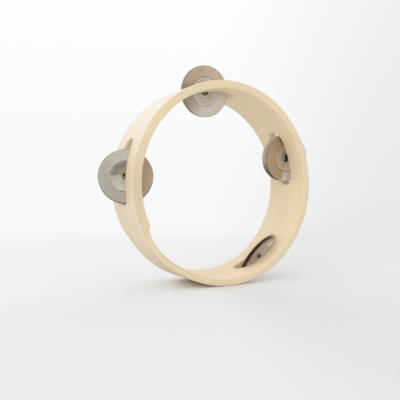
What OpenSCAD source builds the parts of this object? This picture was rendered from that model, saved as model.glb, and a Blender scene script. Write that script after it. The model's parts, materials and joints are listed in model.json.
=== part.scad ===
// Headless wooden tambourine: a laminated hoop with four slots, and a pair of
// pressed steel jingles threaded loosely on a nail across each slot.
// It stands on its rim, its axis along Y, front rim towards -Y, floor at Z = 0.

/* [Hoop] */
// Outer diameter of the hoop
hoop_d = 150; // [140:1:230]
// Width of the bent strip, rim to rim
hoop_w = 44; // [36:1:70]
// Thickness of the outer ply
outer_ply_t = 2.1; // [1.2:0.1:2.5]
// Thickness of the core ply, which holds the nails
core_ply_t = 1.8; // [1.8:0.1:3]
// Thickness of the inner ply
inner_ply_t = 1.3; // [1.2:0.1:2.5]
// Rounding of the sanded rim corners
corner_r = 0.8; // [0.3:0.1:1.1]
// Gap at the butt seam of the outer and core plies
seam_gap = 0.2; // [0.1:0.05:0.6]

/* [Slots] */
// Length of each slot along the hoop, from round end to round end
slot_l = 45; // [44.6:0.2:56]
// Width of each slot along the hoop's axis
slot_w = 13.4; // [13:0.2:20]
// Place of the left slot, degrees from +X towards +Z
left_angle = 173.6; // [168:0.1:180]
// Place of the top slot
top_angle = 95.5; // [90:0.1:102]
// Place of the right slot
right_angle = 18.6; // [12:0.1:26]

/* [Jingles] */
// Outer diameter of a jingle
jingle_d = 38.4; // [35:0.1:40]
// Sheet thickness of a jingle
sheet_t = 0.5; // [0.3:0.1:0.8]
// Diameter of the pressed cup
cup_d = 22.4; // [18:0.1:26]
// Diameter of the flat hub inside the cup
hub_d = 10.8; // [8:0.1:13]
// Depth of the pressed cup
cup_depth = 1; // [0.6:0.1:1.6]
// Diameter of the centre hole
hole_d = 5.6; // [5.2:0.1:6]

/* [Nails] */
// Diameter of a nail
pin_d = 1.5; // [1.2:0.1:1.6]
// Diameter of a nail's head
head_d = 3; // [2.2:0.1:3.6]
// Thickness of a nail's head, sunk into the rear rim
head_t = 0.6; // [0.4:0.1:1]
// How far a nail's tip goes into the wood in front of its slot
pin_bite = 10; // [6:1:12]

/* [Clearances] */
// Least gap between a nail and the hole it passes through
pin_gap = 0.1; // [0.05:0.01:0.3]
// Least gap between a jingle and the side of its slot
slot_gap = 0.2; // [0.1:0.05:0.4]
// Gap between the hubs of a pair that is closed
hub_gap = 0.3; // [0.2:0.05:0.5]
// Gap around a nail's head in its pocket
head_gap = 0.1; // [0.05:0.01:0.3]
// Height of the lower jingles' edge above the floor
floor_gap = 0.05; // [0.02:0.01:0.2]

/* [Hidden] */
$fn = 180;
cut_over = 1;

hoop_r = hoop_d / 2;
core_out_r = hoop_r - outer_ply_t;
core_in_r = core_out_r - core_ply_t;
bore_r = core_in_r - inner_ply_t;
pin_ring_r = (core_out_r + core_in_r) / 2;
wall_t = hoop_r - bore_r;
jingle_r = jingle_d / 2;

// The inner ply's blunt end stands proud at lap_end, and its other end is
// shaved away to nothing between lap_start and lap_end.
lap_end = 206;
lap_start = 250;
outer_seam = 238;
core_seam = 226;

LEFT = 0;
TOP = 1;
RIGHT = 2;
LOWER = 3;
PAIRS = [LEFT, TOP, RIGHT, LOWER];
// How much longer than the others each slot was cut
slot_extra = [2.6, 0, 0, 0];
slot_long = [for (k = PAIRS) slot_l + slot_extra[k]];
// How far past the middle of its slot each nail was driven, as shares of that slot's length
nail_shares = [0.04488, 0.0363028, -0.0111701, 0.0237365];
nail_off = [for (k = PAIRS) nail_shares[k] * slot_long[k] / pin_ring_r * 180 / PI];
// Way in which each pair hangs off its nail, degrees from the hoop's radius there:
// down, down, aside, and up off the floor
hang_ways = [94.8, 173, 180, 180];
// How each pair came to rest. Its leans about the hoop's tangent and about the
// hoop's radius are shares of what the slot allows.
side_shares = [0.463, -0.135, -0.25, 0.965];
twist_shares = [-0.9, 0.12, -0.8, 0];
// How far each pair stands apart at rest, as a share of its slot's width.
apart_shares = [0, 0.03, 0.3, 0];
// Where each pair's middle lies in its free room, from -1, front, to 1, rear.
place_shares = [0.35, 0.95, 0.6, 0.5];
// How far each front jingle can still move forward, as a share of its room.
travel_shares = [0.8, 0.7, 0.7, 0.8];
// By what share of its play each pair hangs off its nail.
hang_shares = [0.98, 0.98, 0.98, 0.98];

// Gap between the hubs of a pair at rest
function rest_gap(k) = hub_gap + apart_shares[k] * slot_w;
// Distance from the middle of a pair to a jingle's hub, middle of the sheet
function hub_place(k) = (rest_gap(k) + sheet_t) / 2;
// Distance from the middle of a pair to a jingle's rim, outer face
function rim_face(k) = hub_place(k) + cup_depth + sheet_t / 2;

// How far a leaning pair's holes hang off the nail, once its front jingle has opened
function hang(k, lean, open) = hang_shares[k] * cos(lean)
    * max(0, hole_d / 2 - pin_d / 2 / cos(lean) - pin_gap - (sheet_t / 2 + hub_place(k) + open) * tan(lean));

// Half of the free width of a slot at a distance along the hoop from its middle
free_r = slot_w / 2 - slot_gap;
function past_side(k, t) = max(0, abs(t) - (slot_long[k] - slot_w) / 2);
function free_half(k, t) = past_side(k, t) < free_r
    ? sqrt(free_r * free_r - past_side(k, t) * past_side(k, t)) : free_r - past_side(k, t);

// Where a pair's outer faces cross the wall, at a lean to the side and a twist:
// how far along the hoop from the slot's middle, and to the rear of the pair's middle.
function spots(k, side, twist) =
    let (drop = hang(k, acos(cos(side) * cos(twist)), 0)) [
    for (way = [-1, 1], i = [-8:8])
    let (face = way * rim_face(k),
         p = jingle_r * sin(90 * i / 8),
         half = jingle_r * cos(90 * i / 8),
         t = drop * sin(hang_ways[k]) - face * sin(twist) + p * cos(twist),
         r = pin_ring_r + drop * cos(hang_ways[k]) - (face * cos(twist) + p * sin(twist)) * sin(side),
         y = (face * cos(twist) + p * sin(twist)) * cos(side),
         low = max(-half, (sqrt(bore_r * bore_r - t * t) - r) / cos(side)),
         high = min(half, (sqrt(hoop_r * hoop_r - t * t) - r) / cos(side)))
    if (low <= high) for (m = [low, high])
        [(r + m * cos(side)) * sin(nail_off[k]) + t * cos(nail_off[k]), y + m * sin(side)]];
// The foremost and rearmost places that the slot leaves for a pair's middle
function limits(k, side, twist) = let (all = spots(k, side, twist))
    [max([for (s = all) -free_half(k, s[0]) - s[1]]), min([for (s = all) free_half(k, s[0]) - s[1]])];
function fits(k, side, twist) = let (ends = limits(k, side, twist)) ends[1] > ends[0];

// The widest lean that fits, found by halving
function widest(k, side, way, low, high, rounds) =
    let (mid = (low + high) / 2, free = way == 0 ? fits(k, mid, 0) : fits(k, side, way * mid))
    rounds == 0 ? low : widest(k, side, way, free ? mid : low, free ? high : mid, rounds - 1);
side_of = [for (k = PAIRS) side_shares[k] * widest(k, 0, 0, 0, 60, 9)];
twist_of = [for (k = PAIRS) abs(twist_shares[k]) < 0.001 ? 0
    : twist_shares[k] * widest(k, side_of[k], sign(twist_shares[k]), 0, 40, 9)];
lean_of = [for (k = PAIRS) acos(cos(side_of[k]) * cos(twist_of[k]))];
limits_of = [for (k = PAIRS) limits(k, side_of[k], twist_of[k])];
room_of = [for (k = PAIRS) max(0, limits_of[k][1] - limits_of[k][0]) / 2];
mid_of = [for (k = PAIRS) (limits_of[k][0] + limits_of[k][1]) / 2 + place_shares[k] * room_of[k]];

// How far a front jingle can still open, and close, along its own axis
open_of = [for (k = PAIRS)
    travel_shares[k] * (1 + place_shares[k]) * room_of[k] * cos(lean_of[k])];
close_of = [for (k = PAIRS) rest_gap(k) - hub_gap];
hang_of = [for (k = PAIRS) hang(k, lean_of[k], open_of[k])];

// The lower nail's place follows from its front jingle's edge, which meets the floor.
floor_a = hoop_r - floor_gap;
floor_b = pin_ring_r - hang_of[LOWER] + rim_face(LOWER) * sin(side_of[LOWER]);
floor_c = floor_b * floor_b + pow(jingle_r * sin(side_of[LOWER]), 2);
floor_d = floor_a * floor_a - jingle_r * jingle_r;
lower_sine = (floor_a * floor_b - sqrt(pow(floor_a * floor_b, 2) - floor_c * floor_d)) / floor_c;
lower_angle = -asin(lower_sine);

slot_angles = [left_angle, top_angle, right_angle, lower_angle - nail_off[LOWER]];
nail_angles = slot_angles + nail_off;
hang_angles = nail_angles + hang_ways;

// How far the edge of a pair reaches from the hoop's axis to one way along X
function tip_over(k) =
    sin(nail_angles[k]) * sin(twist_of[k]) - cos(nail_angles[k]) * sin(side_of[k]) * cos(twist_of[k]);
function reach_x(k, way) =
    way * (pin_ring_r * cos(nail_angles[k]) + hang_of[k] * cos(hang_angles[k]))
        + rim_face(k) * abs(tip_over(k)) + jingle_r * sqrt(1 - tip_over(k) * tip_over(k));
// The origin lies midway between the outermost edges of the left and right pairs.
hoop_x = (reach_x(LEFT, -1) - reach_x(RIGHT, 1)) / 2;

// Hoop frame: Z along the hoop's axis towards the front rim, X to the right.
module in_hoop() {
    translate([hoop_x, 0, hoop_r]) rotate([90, 0, 0]) children();
}

// Pair frame: on the nail in mid-pair, Z along the jingles' own axis to the rear.
module in_pair(k) {
    translate([hoop_x, mid_of[k], hoop_r])
        translate([hang_of[k] * cos(hang_angles[k]), 0, hang_of[k] * sin(hang_angles[k])])
            rotate([0, -nail_angles[k], 0])
                translate([pin_ring_r, 0, 0])
                    rotate([0, 0, side_of[k]])
                        rotate([-twist_of[k] - 90, 0, 0])
                            children();
}

// A rectangle with rounded corners, in the middle
module rounded(l, w, r) {
    square([l - 2 * r, w], center = true);
    square([l, w - 2 * r], center = true);
    for (x = [-1, 1], y = [-1, 1])
        translate([x * (l / 2 - r), y * (w / 2 - r)])
            circle(r = r, $fn = 48);
}

// One ply's share of the hoop's wall, whose rim corners are sanded round
module ply_ring(in_r, out_r) {
    rotate_extrude()
        intersection() {
            translate([(bore_r + hoop_r) / 2, 0]) rounded(wall_t, hoop_w, corner_r);
            translate([(in_r + out_r) / 2, 0]) square([out_r - in_r, hoop_w], center = true);
        }
}

// Outline of a slot, with round ends
module slot_outline(l) {
    square([l - slot_w, slot_w], center = true);
    for (x = [-1, 1])
        translate([x * (l - slot_w) / 2, 0])
            circle(d = slot_w, $fn = 72);
}

slot_foot = sqrt(bore_r * bore_r - pow(max(slot_long) / 2, 2)) - cut_over;
module slot_cuts() {
    for (k = PAIRS)
        rotate([0, 0, slot_angles[k]])
            translate([slot_foot, 0, 0])
                rotate([90, 0, 90])
                    linear_extrude(hoop_r + cut_over - slot_foot) slot_outline(slot_long[k]);
}

module nail_places() {
    for (angle = nail_angles) nail_place(angle) children();
}

// Nail frame: Z along the nail from its head in the rear rim to its tip.
module nail_place(angle) {
    rotate([0, 0, angle]) translate([pin_ring_r, 0, -hoop_w / 2]) children();
}

pin_l = hoop_w / 2 + slot_w / 2 + pin_bite;
module nail_bore() {
    cylinder(d = pin_d, h = pin_l, $fn = 48);
}

module head_pocket() {
    translate([0, 0, -cut_over])
        cylinder(d = head_d + 2 * head_gap, h = head_t + head_gap + cut_over, $fn = 48);
}

// A pie slice of the hoop between two angles less than half a turn apart
module slice(from_angle, to_angle) {
    reach = hoop_d;
    linear_extrude(hoop_w + 2 * cut_over, center = true)
        polygon([[0, 0],
                 [reach * cos(from_angle), reach * sin(from_angle)],
                 [reach * cos(to_angle), reach * sin(to_angle)]]);
}

module seam_cut(angle, r) {
    rotate([0, 0, angle])
        translate([r, 0, 0])
            cube([2 * wall_t, seam_gap, hoop_w + 2 * cut_over], center = true);
}

module hoop_outer_ply() {
    color([0.93, 0.86, 0.74]) in_hoop() difference() {
        ply_ring(core_out_r, hoop_r);
        slot_cuts();
        nail_places() head_pocket();
        seam_cut(outer_seam, hoop_r);
    }
}

module hoop_core_ply() {
    color([0.86, 0.75, 0.58]) in_hoop() difference() {
        ply_ring(core_in_r, core_out_r);
        slot_cuts();
        nail_places() { nail_bore(); head_pocket(); }
        seam_cut(core_seam, hoop_r);
    }
}

// The shaving follows the bore, moved off centre so that it starts at lap_start.
shave_over = 1.15;
shave_shift = inner_ply_t * shave_over / sin(lap_start - lap_end);
module lap_shaving() {
    intersection() {
        slice(lap_end, lap_start);
        translate([shave_shift * cos(lap_start - 90), shave_shift * sin(lap_start - 90), 0])
            cylinder(r = bore_r, h = hoop_w + cut_over, center = true);
    }
}

module hoop_inner_ply() {
    color([0.90, 0.81, 0.66]) in_hoop() difference() {
        ply_ring(bore_r, core_in_r);
        slot_cuts();
        nail_places() head_pocket();
        lap_shaving();
    }
}

module pin(k) {
    color([0.62, 0.62, 0.64]) in_hoop() nail_place(nail_angles[k]) {
        cylinder(d = head_d, h = head_t, $fn = 48);
        nail_bore();
    }
}

// Height of the cup over the rim's plane, falling smoothly from hub to rim
cup_steps = 12;
cup_r = cup_d / 2;
hub_r = hub_d / 2;
hole_r = hole_d / 2;
function cup_x(i) = hub_r + (cup_r - hub_r) * i / cup_steps;
function cup_rise(i) = cup_depth * (1 + cos(180 * i / cup_steps)) / 2;
function face(rise) = concat([[hole_r, cup_depth + rise]],
    [for (i = [0:cup_steps]) [cup_x(i), cup_rise(i) + rise]], [[jingle_r, rise]]);
function reversed(list) = [for (i = [1:len(list)]) list[len(list) - i]];

// A jingle in its pair frame: side is 1 for the rear one and -1 for the front one.
module jingle(k, side) {
    rim_plane = hub_place(k) + cup_depth;
    outline = [for (p = concat(face(-sheet_t / 2), reversed(face(sheet_t / 2))))
        [p[0], side * (rim_plane - p[1])]];
    color([0.72, 0.70, 0.66]) in_pair(k) rotate_extrude() polygon(outline);
}

hoop_outer_ply();
hoop_core_ply();
hoop_inner_ply();
pin(LEFT);  // left_pin
pin(TOP);  // top_pin
pin(RIGHT);  // right_pin
pin(LOWER);  // lower_pin
jingle(LEFT, -1);  // left_front_jingle
jingle(LEFT, 1);  // left_rear_jingle
jingle(TOP, -1);  // top_front_jingle
jingle(TOP, 1);  // top_rear_jingle
jingle(RIGHT, -1);  // right_front_jingle
jingle(RIGHT, 1);  // right_rear_jingle
jingle(LOWER, -1);  // lower_front_jingle
jingle(LOWER, 1);  // lower_rear_jingle
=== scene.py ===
"""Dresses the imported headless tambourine: bent birch strips, pressed steel jingles and nails."""
import json
import logging
import math
from dataclasses import dataclass
from enum import Enum
from typing import Callable, Optional, Sequence, Union

import bpy
from mathutils import Matrix, Vector


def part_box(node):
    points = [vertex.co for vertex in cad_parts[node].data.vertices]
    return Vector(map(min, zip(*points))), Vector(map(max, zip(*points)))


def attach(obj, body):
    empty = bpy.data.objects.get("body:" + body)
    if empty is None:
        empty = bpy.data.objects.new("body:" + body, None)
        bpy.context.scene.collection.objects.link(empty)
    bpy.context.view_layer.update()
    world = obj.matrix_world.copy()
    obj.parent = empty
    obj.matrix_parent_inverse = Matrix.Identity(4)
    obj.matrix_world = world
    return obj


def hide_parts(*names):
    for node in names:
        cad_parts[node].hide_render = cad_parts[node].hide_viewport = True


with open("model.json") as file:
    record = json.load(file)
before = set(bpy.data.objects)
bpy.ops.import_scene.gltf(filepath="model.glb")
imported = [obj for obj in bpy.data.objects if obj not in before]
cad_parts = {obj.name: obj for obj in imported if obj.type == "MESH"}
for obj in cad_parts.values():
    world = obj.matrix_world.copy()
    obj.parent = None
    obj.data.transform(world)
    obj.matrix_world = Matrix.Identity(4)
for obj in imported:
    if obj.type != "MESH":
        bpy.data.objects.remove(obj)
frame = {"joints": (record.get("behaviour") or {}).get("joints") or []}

MM = 0.001
HAIR = 0.001 * MM  # how far the dressed pieces keep inside the box of the solids
NEAR = 0.01 * MM  # how close a point has to be to count as being at a place
logger = logging.getLogger("tambourine")

Colour = tuple[float, float, float, float]
Span = tuple[float, float]
Mix = tuple[float, float]
Value = Union["Wire", float, Sequence[float]]


class Side(Enum):
    """Which jingle of a pair, by the way its rim points along the pair's axis."""

    FRONT = -1
    REAR = 1


class Element(Enum):
    """What is selected of a mesh in edit mode."""

    VERTEX = "VERT"
    EDGE = "EDGE"
    FACE = "FACE"


class Ply(Enum):
    """A veneer strip of the hoop, by its place in the wall."""

    OUTER = "hoop_outer_ply"
    CORE = "hoop_core_ply"
    INNER = "hoop_inner_ply"


def colour(red: float, green: float, blue: float) -> Colour:
    """Turns a colour as a screen shows it, from 0 to 255, into the linear one that shaders take.

    Args:
        red: Red part.
        green: Green part.
        blue: Blue part.

    Returns:
        The linear colour, opaque.
    """
    def linear(value: float) -> float:
        """One part of the colour, by the curve that screens use."""
        share = value / 255
        return share / 12.92 if share <= 0.04045 else ((share + 0.055) / 1.055) ** 2.4
    return (linear(red), linear(green), linear(blue), 1.0)


# Shader wiring

@dataclass(frozen=True)
class Wire:
    """An output of a node, on which Python's own sums and products add Math nodes."""

    bench: "Bench"
    socket: Optional[bpy.types.NodeSocket]

    def __add__(self, other: Value) -> "Wire":
        """Sum of both."""
        return self.bench.math("ADD", self, other)

    def __radd__(self, other: Value) -> "Wire":
        """Sum with a number on the left."""
        return self.bench.math("ADD", other, self)

    def __sub__(self, other: Value) -> "Wire":
        """This less the other."""
        return self.bench.math("SUBTRACT", self, other)

    def __rsub__(self, other: Value) -> "Wire":
        """A number less this."""
        return self.bench.math("SUBTRACT", other, self)

    def __mul__(self, other: Value) -> "Wire":
        """Product of both."""
        return self.bench.math("MULTIPLY", self, other)

    def __rmul__(self, other: Value) -> "Wire":
        """Product with a number on the left."""
        return self.bench.math("MULTIPLY", other, self)

    def __truediv__(self, other: Value) -> "Wire":
        """This over the other."""
        return self.bench.math("DIVIDE", self, other)

    def __abs__(self) -> "Wire":
        """Size without the sign."""
        return self.bench.math("ABSOLUTE", self)

    def sine(self) -> "Wire":
        """Sine of this angle in radians."""
        return self.bench.math("SINE", self)

    def rise(self, low: float, high: float) -> "Wire":
        """Smooth step from 0 at low to 1 at high, or down where low is the larger.

        Args:
            low: Value at which the step starts.
            high: Value at which it ends.

        Returns:
            The step, between 0 and 1.
        """
        inputs = {"Value": self, "From Min": low, "From Max": high, "To Min": 0.0, "To Max": 1.0}
        return self.bench.put("ShaderNodeMapRange", inputs, interpolation_type="SMOOTHSTEP")

    def mix(self, least: float, more: float) -> "Wire":
        """A strength that starts at the least one and grows with this by as much more."""
        return self * more + least

    def line(self, centre: Value, half_width: float) -> "Wire":
        """A soft line: 1 where this equals centre and 0 from half_width away."""
        return abs(self - centre).rise(half_width, 0.0)


class Bench:
    """One material's or the world's node tree, and the one method that adds nodes to it."""

    def __init__(self, tree: bpy.types.NodeTree) -> None:
        """Empties the tree."""
        self.tree = tree
        tree.nodes.clear()

    def put(self, kind: str, inputs: Optional[dict] = None, output: Union[int, str] = 0,
            **settings: object) -> Wire:
        """Adds a node.

        Args:
            kind: The node's type.
            inputs: Values or wires for its sockets, by name or number.
            output: The output that is wanted.
            settings: The node's own properties, such as operation.

        Returns:
            The wanted output, or a wire from nowhere for a node that has none.
        """
        node = self.tree.nodes.new(kind)
        for name, value in settings.items():
            setattr(node, name, value)
        for key, value in (inputs or {}).items():
            if isinstance(value, Wire):
                self.tree.links.new(value.socket, node.inputs[key])
            else:
                node.inputs[key].default_value = value
        return Wire(self, node.outputs[output] if node.outputs else None)

    def math(self, operation: str, *values: Value) -> Wire:
        """A Math node on values."""
        return self.put("ShaderNodeMath", dict(enumerate(values)), operation=operation)

    def vector(self, x: Value, y: Value, z: Value) -> Wire:
        """A vector from three values."""
        return self.put("ShaderNodeCombineXYZ", {0: x, 1: y, 2: z})

    def length(self, x: Wire, y: Wire) -> Wire:
        """Length of the flat arm whose two parts are given."""
        return self.math("SQRT", x * x + y * y)

    def parts(self, vector: Wire) -> tuple[Wire, Wire, Wire]:
        """The three values of a vector.

        Args:
            vector: The vector.

        Returns:
            Its parts along X, Y and Z.
        """
        first = self.put("ShaderNodeSeparateXYZ", {0: vector})
        outputs = first.socket.node.outputs
        return first, Wire(self, outputs[1]), Wire(self, outputs[2])

    def noise(self, place: Wire, scale: float, detail: float = 2.0, roughness: float = 0.5) -> Wire:
        """Noise from 0 to 1 at a place."""
        inputs = {"Vector": place, "Scale": scale, "Detail": detail, "Roughness": roughness}
        return self.put("ShaderNodeTexNoise", inputs)

    def blend(self, factor: Value, first: Value, second: Value) -> Wire:
        """A mix of two colours."""
        inputs = {0: factor, 6: first, 7: second}
        return self.put("ShaderNodeMix", inputs, output=2, data_type="RGBA", blend_type="MIX")

    def bump(self, height: Wire, depth: float) -> Wire:
        """A normal bent by a height from 0 to 1 that stands for depth metres."""
        inputs = {"Strength": 1.0, "Distance": depth, "Height": height}
        return self.put("ShaderNodeBump", inputs)

    def surface(self, shader: Wire, kind: str = "ShaderNodeOutputMaterial") -> None:
        """Sends a shader to the output node, which is of the world's kind for a world."""
        self.put(kind, {"Surface": shader})

    def seen_or_mirrored(self) -> Wire:
        """1 for what the camera sees itself or in metal or glass, and 0 for light on dull surfaces.

        Returns:
            The factor, 0 or 1.
        """
        kinds = ("Is Camera Ray", "Is Glossy Ray", "Is Transmission Ray")
        camera, glossy, passing = (self.put("ShaderNodeLightPath", output=kind) for kind in kinds)
        return self.math("MINIMUM", camera + glossy + passing, 1.0)


def new_bench(name: str) -> tuple[bpy.types.Material, Bench]:
    """A new material and the bench for its nodes.

    Args:
        name: The material's name.

    Returns:
        The material and its bench.
    """
    material = bpy.data.materials.new(name)
    material.use_nodes = True
    return material, Bench(material.node_tree)


# Modelling by hand

def deselect() -> None:
    """Leaves nothing selected."""
    if bpy.context.object and bpy.context.object.mode != "OBJECT":
        bpy.ops.object.mode_set(mode="OBJECT")
    bpy.ops.object.select_all(action="DESELECT")


def pick(piece: bpy.types.Object) -> None:
    """Selects one object and makes it the active one.

    Args:
        piece: The object.
    """
    deselect()
    piece.select_set(True)
    bpy.context.view_layer.objects.active = piece


def fresh(name: str) -> bpy.types.Object:
    """Names the object that a primitive operator has just made.

    Args:
        name: Its name.

    Returns:
        The object.
    """
    piece = bpy.context.object
    piece.name = name
    piece.data.name = name
    return piece


def select(piece: bpy.types.Object, kind: Element, wanted: Callable[..., bool]) -> int:
    """Selects parts of a mesh by their places, in edit mode afterwards.

    Args:
        piece: The object.
        kind: What is selected.
        wanted: Says whether a part is wanted, of a vertex's place, an edge's two ends or a face's middle.

    Returns:
        How many are selected.
    """
    pick(piece)
    bpy.ops.object.mode_set(mode="EDIT")
    bpy.ops.mesh.select_mode(type=kind.value)
    bpy.ops.mesh.select_all(action="DESELECT")
    bpy.ops.object.mode_set(mode="OBJECT")
    mesh = piece.data
    if kind is Element.VERTEX:
        found = [(vertex, [vertex.co]) for vertex in mesh.vertices]
    elif kind is Element.EDGE:
        found = [(edge, [mesh.vertices[index].co for index in edge.vertices]) for edge in mesh.edges]
    else:
        found = [(face, [face.center]) for face in mesh.polygons]
    for part, places in found:
        part.select = wanted(*places)
    count = sum(part.select for part, _ in found)
    bpy.ops.object.mode_set(mode="EDIT")
    return count


def apply_modifier(piece: bpy.types.Object, kind: str, **settings: object) -> None:
    """Adds a modifier and applies it.

    Args:
        piece: The object.
        kind: The modifier's type.
        settings: Its properties.
    """
    pick(piece)
    modifier = piece.modifiers.new(kind.title(), kind)
    for name, value in settings.items():
        setattr(modifier, name, value)
    bpy.ops.object.modifier_apply(modifier=modifier.name)


def place(piece: bpy.types.Object, matrix: Matrix) -> None:
    """Puts an object at its place and moves that place into its mesh.

    Args:
        piece: The object.
        matrix: Its place and turn.
    """
    pick(piece)
    piece.matrix_world = matrix
    bpy.ops.object.transform_apply(location=True, rotation=True, scale=True)


def smooth(piece: bpy.types.Object, degrees: float) -> None:
    """Shades smooth, with edges sharper than the angle left crisp."""
    pick(piece)
    bpy.ops.object.shade_smooth_by_angle(angle=math.radians(degrees))


def remove(piece: bpy.types.Object) -> None:
    """Deletes a helper object."""
    bpy.data.objects.remove(piece, do_unlink=True)


# Finishes

@dataclass(frozen=True)
class Polar:
    """Where a point of the hoop is: along its arc, across its width and through its wall."""

    arc: Wire
    across: Wire
    radius: Wire
    depth: Wire
    turn: Wire


@dataclass(frozen=True)
class Grain:
    """A noise drawn out along the strip, by its scales along, across and through it."""

    along: float
    across: float
    through: float
    detail: float = 2.0
    roughness: float = 0.5

    def at(self, bench: Bench, spot: Polar) -> Wire:
        """The noise at a point of the hoop, from 0 to 1."""
        place = bench.vector(spot.arc * self.along, spot.across * self.across, spot.depth * self.through)
        return bench.noise(place, 1.0, self.detail, self.roughness)


@dataclass(frozen=True)
class Twist:
    """How the strip stands out of round near its lap, by the turn past the lap's end."""

    start: float = math.radians(-4)
    peak: float = math.radians(10)
    end: float = math.radians(46)
    height: float = 2.1 * MM
    lean: float = -0.75
    lift: float = 0.25

    def at(self, turn: float) -> float:
        """How much of the height counts at a turn past the lap's end, from 0 to 1.

        Args:
            turn: The turn past the lap's end.

        Returns:
            The share of the height.
        """
        if not self.start < turn < self.end:
            return 0.0
        if turn < self.peak:
            return math.sin((turn - self.start) / (self.peak - self.start) * math.pi / 2) ** 2
        return (1 + math.cos((turn - self.peak) / (self.end - self.peak) * math.pi)) / 2


@dataclass(frozen=True)
class BirchFinish:
    """Bare sanded birch veneer, bent round the hoop.

    A span is where a smooth step starts and ends. A mix is the least strength, and how much more
    a pattern adds to it. Turns are counted from the lap's end.
    """

    name: str
    pale: Colour
    dark: Colour
    hoop_centre: Vector
    hoop_radius: float
    outer_radius: float
    rim_across: float
    seam_turn: float
    twist: Twist
    figure: Grain = Grain(9.0, 70.0, 90.0, 3.0, 0.55)
    figure_span: Span = (0.3, 0.72)
    figure_tone: float = 0.35
    streak: Grain = Grain(26.0, 520.0, 520.0)
    fibre: Grain = Grain(110.0, 2600.0, 2600.0, 3.0, 0.6)
    fine_span: Span = (0.3, 0.75)
    fine_tone: float = 0.16
    pores: Grain = Grain(260.0, 5200.0, 5200.0, 1.0)
    pore_span: Span = (0.66, 0.8)
    fibre_depth: float = 0.03 * MM
    roughness: float = 0.52
    fibre_rough: float = 0.12
    pore_rough: float = 0.1
    fibre_relief: float = 0.6
    figure_relief: float = 0.4
    pore_relief: float = 0.5
    shine: float = 0.42
    # Painted sheen: the outer face is whitened towards the upper left, as light glancing off it would.
    painted_sheen: Colour = colour(237, 233, 226)
    painted_sheen_share: float = 0.0
    painted_sheen_mix: Mix = (0.8, 0.4)
    painted_sheen_span: Span = (math.radians(-12), math.radians(-80))
    painted_sheen_end_span: Span = (math.radians(-178), math.radians(-130))
    glue_radii: tuple[float, ...] = ()
    glue: Colour = colour(180, 144, 102)
    glue_strength: float = 0.5
    glue_mix: Mix = (0.4, 1.0)
    glue_half_width: float = 0.2 * MM
    shaved_end: float = math.radians(39.1)
    sanded_span: Span = (math.radians(1), math.radians(3))
    sanded_end_span: Span = (math.radians(27), math.radians(23))
    sanded_off: float = 0.85
    # Painted shade: a thin line in the glue's colour along the outer corners.
    corner_shade_strength: float = 0.3
    corner_mid: float = 0.45 * MM
    corner_mix: Mix = (0.35, 0.75)
    lap_turn: float = math.radians(2.4)
    lap_tint: Colour = colour(222, 172, 142)
    lap_strength: float = 0.0
    lap_mix: Mix = (0.5, 1.0)
    held: Colour = colour(198, 174, 144)
    held_turn: float = math.radians(-24)
    held_width: float = math.radians(34)
    held_strength: float = 0.0
    held_mix: Mix = (0.7, 0.6)
    # Painted shade on the slot walls round the nails, dark in the colour below.
    nails: tuple[Vector, ...] = ()
    nail_shade_r: float = 5.0 * MM
    nail_shade_full: float = 0.4
    nail_shade: Colour = colour(62, 46, 34)
    nail_shade_mix: Mix = (0.7, 0.5)

    def polar(self, bench: Bench) -> Polar:
        """Finds the place on the strip before it was twisted, with the turn counted from the lap's end.

        Args:
            bench: The material's node tree.

        Returns:
            The place.
        """
        x, y, z = bench.parts(bench.put("ShaderNodeTexCoord", output="Object"))
        right = x - self.hoop_centre.x
        up = z - self.hoop_centre.z
        sine, cosine = math.sin(self.seam_turn), math.cos(self.seam_turn)
        along = right * cosine + up * sine
        aside = up * cosine - right * sine
        turn = bench.math("ARCTAN2", aside, along)
        twist = self.twist
        bulging = turn.rise(twist.start, twist.peak) * turn.rise(twist.end, twist.peak)
        lean = y.mix(twist.lift, twist.lean / self.rim_across)
        radius = bench.length(right, up) - bulging * lean * twist.height
        return Polar(turn * self.hoop_radius, y, radius, radius - self.hoop_radius, turn)

    def make(self) -> bpy.types.Material:
        """Builds the material.

        Returns:
            The material.
        """
        material, bench = new_bench(self.name)
        spot = self.polar(bench)
        figure, streak, fibre = (grain.at(bench, spot) for grain in (self.figure, self.streak, self.fibre))
        pores = self.pores.at(bench, spot).rise(*self.pore_span)
        fine = streak.rise(*self.fine_span) + fibre.rise(*self.fine_span) + pores
        tone = figure.rise(*self.figure_span) * self.figure_tone + fine * self.fine_tone
        tint = bench.blend(tone, self.pale, self.dark)
        # Painted sheen: whitens the face towards the upper left.
        if self.painted_sheen_share:
            sheen_mask = spot.turn.rise(*self.painted_sheen_span) * figure.mix(*self.painted_sheen_mix)
            sheen_mask = sheen_mask * spot.turn.rise(*self.painted_sheen_end_span)
            tint = bench.blend(sheen_mask * self.painted_sheen_share, tint, self.painted_sheen)
        sanded = spot.turn.rise(*self.sanded_span) * spot.turn.rise(*self.sanded_end_span)
        kept = 1.0 - sanded * self.sanded_off
        for radius in self.glue_radii:
            line = self.glue_line(spot, radius, figure, kept) * self.glue_strength
            tint = bench.blend(line, tint, self.glue)
        # Painted shade: a thin line in the glue's colour along the outer corners, where the rounded edge
        # turns away from the light.
        corner = (self.outer_radius - spot.radius) + (self.rim_across - abs(spot.across))
        corner = corner.line(self.corner_mid, self.corner_mid) * self.corner_shade_strength
        tint = bench.blend(corner * figure.mix(*self.corner_mix) * kept, tint, self.glue)
        if self.lap_strength:
            near = abs(spot.turn).rise(self.lap_turn, 0.0) * self.lap_strength
            tint = bench.blend(near * streak.mix(*self.lap_mix), tint, self.lap_tint)
        if self.held_strength:
            held = spot.turn.line(self.held_turn, self.held_width) * self.held_strength
            tint = bench.blend(held * figure.mix(*self.held_mix), tint, self.held)
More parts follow.
